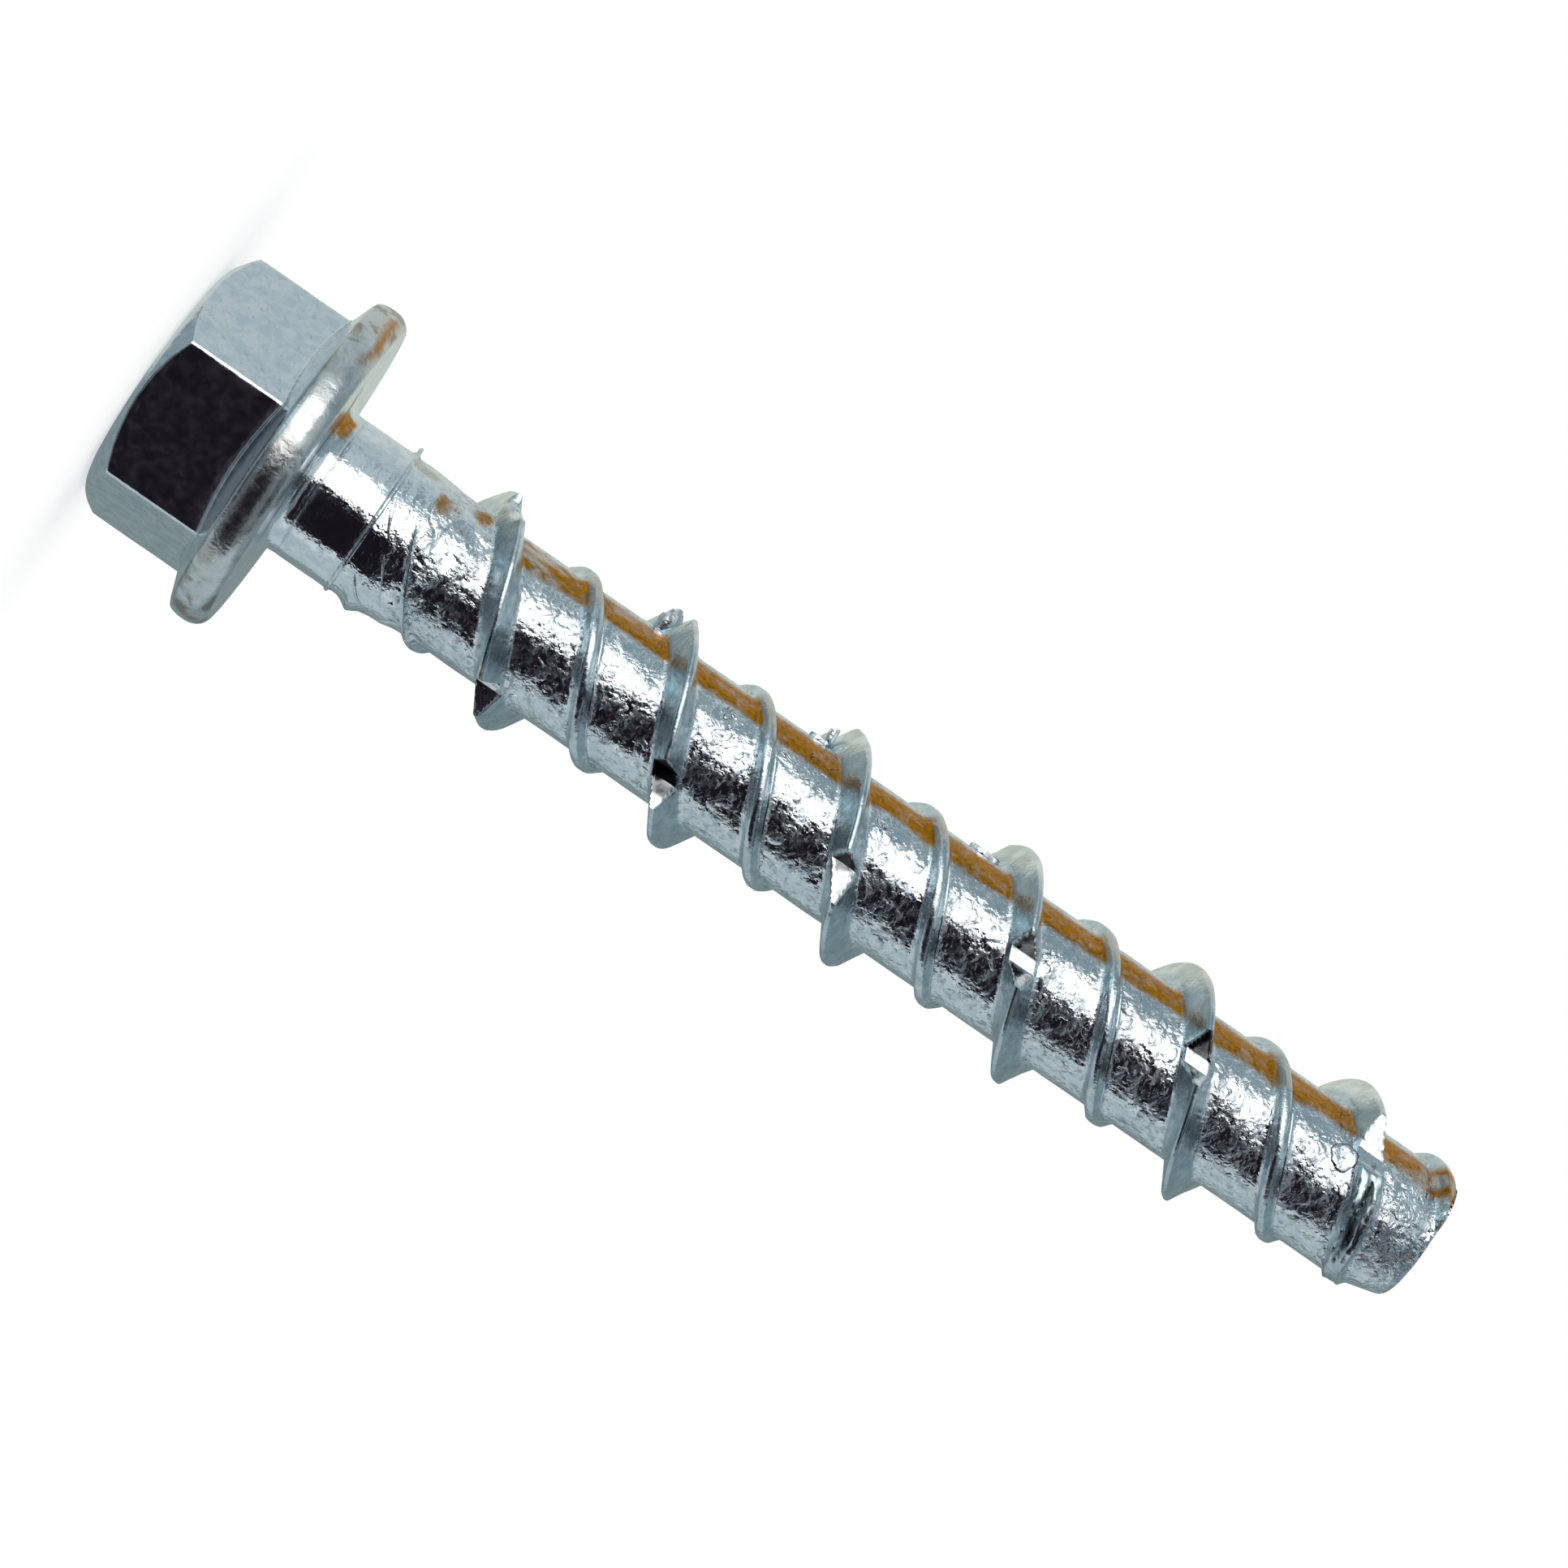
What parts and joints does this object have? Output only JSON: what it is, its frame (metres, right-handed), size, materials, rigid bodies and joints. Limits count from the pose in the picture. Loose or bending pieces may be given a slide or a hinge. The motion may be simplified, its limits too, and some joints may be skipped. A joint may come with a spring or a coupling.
{
  "type": "hexagon flange head concrete screw",
  "caption": "Hexagon flange head concrete screw with a plain neck, a high and a low helical ridge around its core, cutting notches across the high ridge and a blunt tip.",
  "frame": {"origin": "centre of the flange's bearing face, on the screw's axis", "axes": "+Z along the shank to the tip; the flats of the hexagon face +Y, -Y and the two directions 30 degrees either side of +X and -X; the part stands on the end face of its head, at Z = -8.6 mm"},
  "size_m": [0.0178, 0.0178, 0.0736],
  "materials": {
    "zinc_plated_steel": "bright zinc plating with a bluish tint over a rolled steel surface"
  },
  "bodies": {
    "root": {"concrete_screw": "zinc_plated_steel"}
  },
  "joints": []
}
